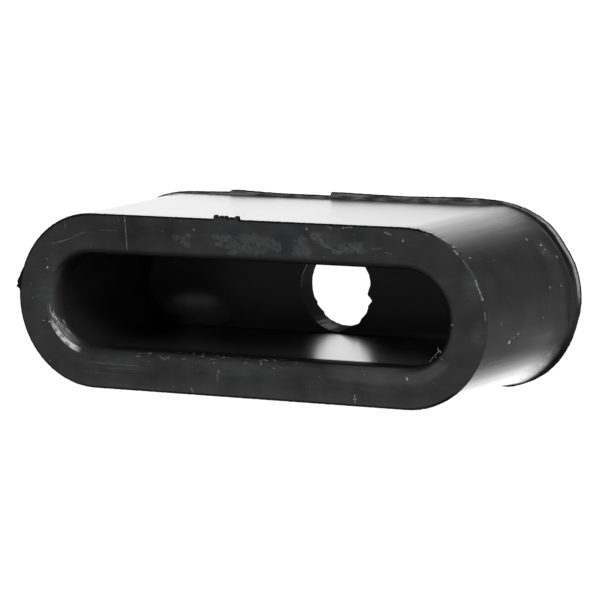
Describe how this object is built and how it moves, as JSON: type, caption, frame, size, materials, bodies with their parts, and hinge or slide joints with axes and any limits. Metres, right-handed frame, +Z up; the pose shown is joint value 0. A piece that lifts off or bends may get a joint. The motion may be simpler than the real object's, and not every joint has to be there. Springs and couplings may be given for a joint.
{
  "type": "radiator mount bushing",
  "caption": "Slot-shaped black rubber block with a deep oblong pocket, a round hole through its thin web and a thin trimmed lip round the rear edge.",
  "frame": {"origin": "middle of the space the bushing takes up, at its lowest point", "axes": "+X along the block's length, -Y out of the pocket's mouth, +Y out of the rear face with the lip, +Z up"},
  "size_m": [0.0772, 0.0274, 0.0269],
  "materials": {
    "black_rubber": "black moulded rubber, glossy on the moulded sides and in the pocket, dull and lightly bloomed and scratched on the pocket's face"
  },
  "bodies": {
    "root": {"mount_bushing": "black_rubber"}
  },
  "joints": []
}
